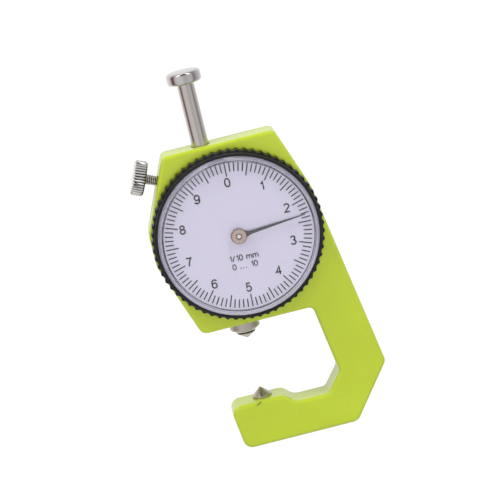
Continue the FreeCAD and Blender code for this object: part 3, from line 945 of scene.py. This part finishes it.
bush_low, bush_high = box_mm("low_bush")
bush_radius = (bush_high.x - bush_low.x) / 2
bush_bore = stem_radius + 0.04
spigot_radius = bush_radius - 0.35
head_bottom = bush_high.z - 2.95
bush_profile = rounded([
    (bush_bore, bush_low.z + 0.05, 0),
    (2.32, bush_low.z + 0.05, 0.06),
    (bush_radius, bush_low.z + 0.9, 0.3),
    (bush_radius, head_bottom, 0),
    (spigot_radius, head_bottom, 0),
    (spigot_radius, bush_high.z, 0.1),
    (bush_bore, bush_high.z, 0),
], steps=4)
turned("conical_bush", bush_profile, PLUNGER_AXIS, turned_nickel, "low_bush")

point_low, point_high = box_mm("contact_point")
point_top = point_high.z - 2.9
point_radius = 2.15
point_pin_radius = 0.8
point_profile = rounded([
    (0, point_low.z, 0),
    (0.15, point_low.z, 0),
    (point_radius, point_top - 0.15, 0.05),
    (point_radius, point_top, 0.04),
    (point_pin_radius, point_top, 0),
    (point_pin_radius, point_high.z, 0.1),
    (0, point_high.z, 0),
], closed=False, steps=4)
# The pin and top of the point are painted near black: painted shade in the gap under the bush.
turned("moving_point", point_profile, PLUNGER_AXIS, turned_nickel, "contact_point",
       painted_shade=lambda v: 1.0 if v.z > point_top - 0.02 else 0.0)

anvil_low, anvil_high = box_mm("anvil")
anvil_radius = 2.3
anvil_pin_radius = 1.25
rim_low = anvil_high.z - 2.3
anvil_profile = rounded([
    (0, anvil_low.z, 0),
    (anvil_pin_radius, anvil_low.z, 0.2),
    (anvil_pin_radius, rim_low, 0),
    (anvil_radius, rim_low, 0.04),
    (anvil_radius, anvil_high.z - 1.85, 0.1),
    (0.25, anvil_high.z, 0.1),
    (0, anvil_high.z, 0),
], closed=False, steps=4)
turned("fixed_point", anvil_profile, PLUNGER_AXIS, lapped_steel, "anvil")

# %% [markdown]
# ## The lock screw
#
# The thumb screw has a straight-knurled head and an M2.5 thread. The knurl is 36 ridges round a core,
# laid by a small Geometry Nodes tree: points on a circle, one ridge on each, turned to face outwards.
# The thread is a rod whose radius rises and falls along a helix of 0.45 mm pitch.

# %% A tree that stands ridges round a circle
ridge_count = 36
knob_radius = 4.04
ridge_depth = 0.3
knob_start = -5.6           # the knob's ends, measured along the screw
knob_end = knob_start + 2.9
knob_bevel = 0.35
valley_radius = knob_radius - ridge_depth
shoulder_radius = knob_radius - ridge_depth * 0.3


def ridge_tree():
    tree, given = shape_tree("knurl_ridges", ridge="Object", count="Int", plating="Material")
    _, angle = share_of_a_turn(tree, given["count"])
    turn = add(tree, "ShaderNodeCombineXYZ", {2: angle}).outputs[0]
    points = add(tree, "GeometryNodePoints", {"Count": given["count"]}).outputs[0]
    ridge = add(tree, "GeometryNodeObjectInfo", {"Object": given["ridge"]}).outputs["Geometry"]
    ridges = add(tree, "GeometryNodeInstanceOnPoints", {
        "Points": points, "Instance": ridge, "Rotation": turn}).outputs[0]
    return finish_shape(tree, ridges, given["plating"])


def ridge_object():
    """One rounded ridge along the head, with its ends bevelled like the head's rims."""
    root = valley_radius - 0.15
    half = math.pi * valley_radius / ridge_count * 1.02
    section = ((root, -half), (shoulder_radius, -half * 0.36), (knob_radius, 0.0),
               (shoulder_radius, half * 0.36), (root, half))
    levels = ((knob_start, knob_bevel), (knob_start + knob_bevel, 0.0),
              (knob_end - knob_bevel, 0.0), (knob_end, knob_bevel))
    vertices = [(max(root, x - inset), y, height) for height, inset in levels for x, y in section]
    return linked("ridge", plain_mesh("ridge", vertices, skinned(len(levels), len(section))))


ridge = ridge_object()
ridge_mesh = grown("ridges", ridge_tree(), ridge=ridge, count=ridge_count, plating=nickel)
bpy.data.objects.remove(ridge)
print("ridge faces:", len(ridge_mesh.polygons))

# %% Head core and thread
thread_pitch = 0.45
thread_radius = 1.245
thread_depth = 0.22
shank_end = box_mm("lock_screw")[1].x


def thread_radius_at(height, angle):
    phase = (height / thread_pitch - angle / (2 * math.pi)) % 1.0
    ramp = abs(2 * phase - 1)
    flank = min(1.0, max(0.0, (ramp - 0.12) / 0.76))
    return thread_radius - thread_depth * (1 - flank)


def threaded_rod(low, high, segments=48, per_turn=10):
    levels = int((high - low) / thread_pitch * per_turn)
    vertices = []
    for level in range(levels + 1):
        height = low + (high - low) * level / levels
        vertices += circle(height, lambda angle: thread_radius_at(height, angle), segments)
    return vertices, skinned(levels + 1, segments)


knob_face_radius = knob_radius - knob_bevel - 0.02
core_profile = rounded([
    (0, knob_start, 0),
    (knob_face_radius, knob_start, 0.12),
    (valley_radius, knob_start + knob_bevel, 0.05),
    (valley_radius, knob_end - knob_bevel, 0.05),
    (knob_face_radius, knob_end, 0.12),
    (0, knob_end, 0),
], closed=False, steps=4)
# The box ends at the slanting shank's corner, and its middle ends a little before that.
shank_length = (shank_end - SCREW_AXIS[0].x) / SCREW_AXIS[1].x - 0.52
core_mesh = plain_mesh("knob_core", *spun(core_profile, segments=108))
thread_mesh = plain_mesh("thread", *threaded_rod(knob_end - 0.1, shank_length))


def screw_grime(point):
    """Painted shade between the ridges of the knurl and at the root of the thread."""
    radius = math.hypot(point.x, point.y)
    if point.z > knob_end:
        return 0.85 if radius < thread_radius - 0.17 else 0.0
    in_knurl = knob_start + 0.1 < point.z and radius > knob_radius - knob_bevel - 0.15
    return min(1.0, max(0.0, (shoulder_radius - radius) / (ridge_depth * 0.5))) if in_knurl else 0.0


joined("lock_thumb_screw", [core_mesh, ridge_mesh, thread_mesh], on_axis(SCREW_AXIS), nickel,
       "lock_screw", painted_shade=screw_grime)

# %% [markdown]
# ## The return spring
#
# The spring is a helix of thin wire round the plunger, inside the head. A curve spiral with a round
# section swept along it is the natural tree for it.

# %% Return spring
spring_low, spring_high = box_mm("return_spring")
wire_radius = 0.14


def spring_tree():
    tree, given = shape_tree(
        "coil_spring", turns="Float", radius="Float", length="Float", wire="Float", steel="Material")
    spiral = add(tree, "GeometryNodeCurveSpiral", {
        "Resolution": 40, "Rotations": given["turns"], "Start Radius": given["radius"],
        "End Radius": given["radius"], "Height": given["length"]}).outputs[0]
    section = add(tree, "GeometryNodeCurvePrimitiveCircle", {
        "Resolution": 10, "Radius": given["wire"]}).outputs[0]
    coil = add(tree, "GeometryNodeCurveToMesh", {
        "Curve": spiral, "Profile Curve": section, "Fill Caps": True}).outputs[0]
    return finish_shape(tree, coil, given["steel"])


spring_length = spring_high.z - spring_low.z - 2 * wire_radius
spring_mesh = grown(
    "spring", spring_tree(), turns=6.5, radius=(spring_high.x - spring_low.x) / 2 - wire_radius,
    length=spring_length, wire=wire_radius, steel=spring_steel)
spring_place = on_axis((Vector((0, 0, spring_low.z + wire_radius)), Vector((0, 0, 1))))
spring = joined("return_spring_coil", [spring_mesh], spring_place, spring_steel,
                "return_spring", crease=80)
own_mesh(spring)

# %% [markdown]
# ## Floor and light
#
# The gauge stands on plain white, as in a product picture. The floor glows white to the camera and
# keeps a soft contact shadow. The gauge itself is inside a light tent, which is the world: its cloth is
# brighter on some sides than on others, and polished metal shows nothing but that. Two soft lamps above
# and a small card in front give the shadows. They are hidden from mirrors, where they would be hard
# disks.


# %% Floor
def studio_floor():
    half = 3.0
    corners = [(-half, -half, 0), (half, -half, 0), (half, half, 0), (-half, half, 0)]
    mesh = plain_mesh("studio_floor", corners, [(0, 1, 2, 3)])
    material, tree, shader, _ = new_finish("white_paper", Roughness=0.8)
    shader.inputs["Base Color"].default_value = linear("C4C4C4")
    glow = add(tree, "ShaderNodeEmission", {"Color": (1, 1, 1, 1), "Strength": 1.22})
    ray = add(tree, "ShaderNodeLightPath").outputs
    seen = maths(tree, "MAXIMUM", ray["Is Camera Ray"], ray["Is Glossy Ray"])
    seen = maths(tree, "MAXIMUM", seen, ray["Is Transmission Ray"])
    show_mixed(tree, maths(tree, "MULTIPLY", seen, 0.75), shader, glow)
    mesh.materials.append(material)
    floor = linked("studio_floor", mesh)
    floor.visible_glossy = False
    return floor


floor = studio_floor()


# %% Tent and lamps
# How bright the tent is, by degrees round the gauge from straight in front, positive to the right. The
# narrow dips are the seams of the tent, and they draw the dark lines down the polished stem.
TENT_SIDES = (
    (-180, "FFFFFF"), (-125, "FFFFFF"), (-102, "CCC8CA"), (-88, "785252"), (-78, "785252"), (-66, "CCC6C6"),
    (-45, "E6E6E6"), (-18, "E2E2E2"), (4, "C8C7C8"), (22, "CCCBCC"), (42, "D8D8D8"), (58, "BCBCBC"),
    (66, "949494"), (76, "989898"), (92, "C4C4C4"), (110, "D0D0D0"), (135, "F0F0F0"), (180, "FFFFFF"),
)
TENT_TOP = (
    (-180, "FFFFFF"), (-90, "B4B0AE"), (-70, "B0B0B0"), (-62, "FFFFFF", 2.5), (-42, "FFFFFF", 2.5),
    (-32, "141414"), (26, "141414"), (36, "FFFFFF", 2.5), (54, "FFFFFF", 2.5), (62, "A0A0A0"),
    (90, "9C9C9C"), (180, "FFFFFF"),
)


def tent_ramp(tree, turn, stops):
    """Colours laid round the gauge by their bearing in degrees. A third entry makes a lit panel."""
    ramp = add(tree, "ShaderNodeValToRGB", {"Fac": turn})
    marks = ramp.color_ramp.elements
    while len(marks) < len(stops):
        marks.new(0.5)
    for mark, (bearing, code, *panel) in zip(marks, stops):
        mark.position = bearing / 360 + 0.5
        mark.color = [channel * (panel or [1.0])[0] for channel in linear(code)[:3]] + [1.0]
    return ramp.outputs["Color"]


def light_tent():
    world = bpy.data.worlds.new("light_tent")
    bpy.context.scene.world = world
    world.use_nodes = True
    tree = world.node_tree
    tree.nodes.clear()
    way = add(tree, "ShaderNodeTexCoord").outputs["Generated"]
    facing = add(tree, "ShaderNodeMapping", {"Vector": way, "Rotation": (0, 0, math.radians(90))})
    sweep = add(tree, "ShaderNodeTexGradient", {0: facing.outputs[0]}, gradient_type="RADIAL")
    turn = sweep.outputs["Fac"]
    height = add(tree, "ShaderNodeSeparateXYZ", {0: way}).outputs["Z"]
    tent = blend(tree, ranged(tree, height, 0.0, 1.0, 0.45, 0.75),
                 tent_ramp(tree, turn, TENT_SIDES), tent_ramp(tree, turn, TENT_TOP))
    cloth = add(tree, "ShaderNodeBackground", {"Color": tent, "Strength": 1.0})
    white = add(tree, "ShaderNodeBackground", {"Color": (1, 1, 1, 1), "Strength": 1.0})
    ray = add(tree, "ShaderNodeLightPath").outputs
    seen = maths(tree, "MAXIMUM", ray["Is Camera Ray"], ray["Is Transmission Ray"])
    sky = add(tree, "ShaderNodeMixShader", {0: seen, 1: cloth.outputs[0], 2: white.outputs[0]})
    add(tree, "ShaderNodeOutputWorld", {"Surface": sky.outputs[0]})


def soft_lamp(name, place, target, size, power):
    """A round lamp that lights the gauge and isn't seen itself, not even in a mirror."""
    light = bpy.data.lights.new(name, "AREA")
    light.shape = "DISK"
    light.size = size
    light.energy = power
    lamp = linked(name, light)
    lamp.location = place
    lamp.rotation_mode = "QUATERNION"
    lamp.rotation_quaternion = (Vector(target) - Vector(place)).to_track_quat("-Z", "Y")
    for seen_by in ("visible_camera", "visible_glossy", "visible_transmission"):
        setattr(lamp, seen_by, False)


light_tent()
middle = (model_box[0] + model_box[1]) / 2
soft_lamp("low_card", middle + Vector((0.03, -0.30, -0.02)), middle - Vector((0, 0, 0.01)), 0.10, 0.30)
soft_lamp("left_lamp", middle + Vector((-0.30, -0.12, 0.45)), middle, 0.26, 1.0)
soft_lamp("right_lamp", middle + Vector((0.24, -0.14, 0.48)), middle, 0.26, 1.0)

# %% [markdown]
# ## The camera
#
# The camera looks at the dial nearly square on, a little from above, with a long lens, and it is rolled
# so that the gauge leans to the left. Its aim lies just right of and below the dial's centre.

# %% Camera
azimuth = math.radians(-1.825)
elevation = math.radians(12.39)
roll = math.radians(-13.75)
distance = 0.560
aim_right = 2.62
aim_down = 3.37

level = math.cos(elevation)
back = Vector((math.sin(azimuth) * level, -math.cos(azimuth) * level, math.sin(elevation)))
level_right = (-back).cross(Vector((0, 0, 1))).normalized()
level_up = level_right.cross(-back)
right = level_right * math.cos(roll) + level_up * math.sin(roll)
up = level_up * math.cos(roll) - level_right * math.sin(roll)
dial_centre = Vector((dial_x, -dial_face, dial_z)) * MM
aim = dial_centre + (right * aim_right - up * aim_down) * MM

lens = bpy.data.cameras.new("camera")
lens.sensor_width = 36
lens.lens = 176.0
camera = linked("camera", lens)
facing = Matrix((right, up, back)).transposed().to_4x4()
camera.matrix_world = Matrix.Translation(aim + back * distance) @ facing
bpy.context.scene.camera = camera
bpy.context.scene.view_settings.view_transform = "Standard"
print("camera stands", round(distance * 1000), "mm away")
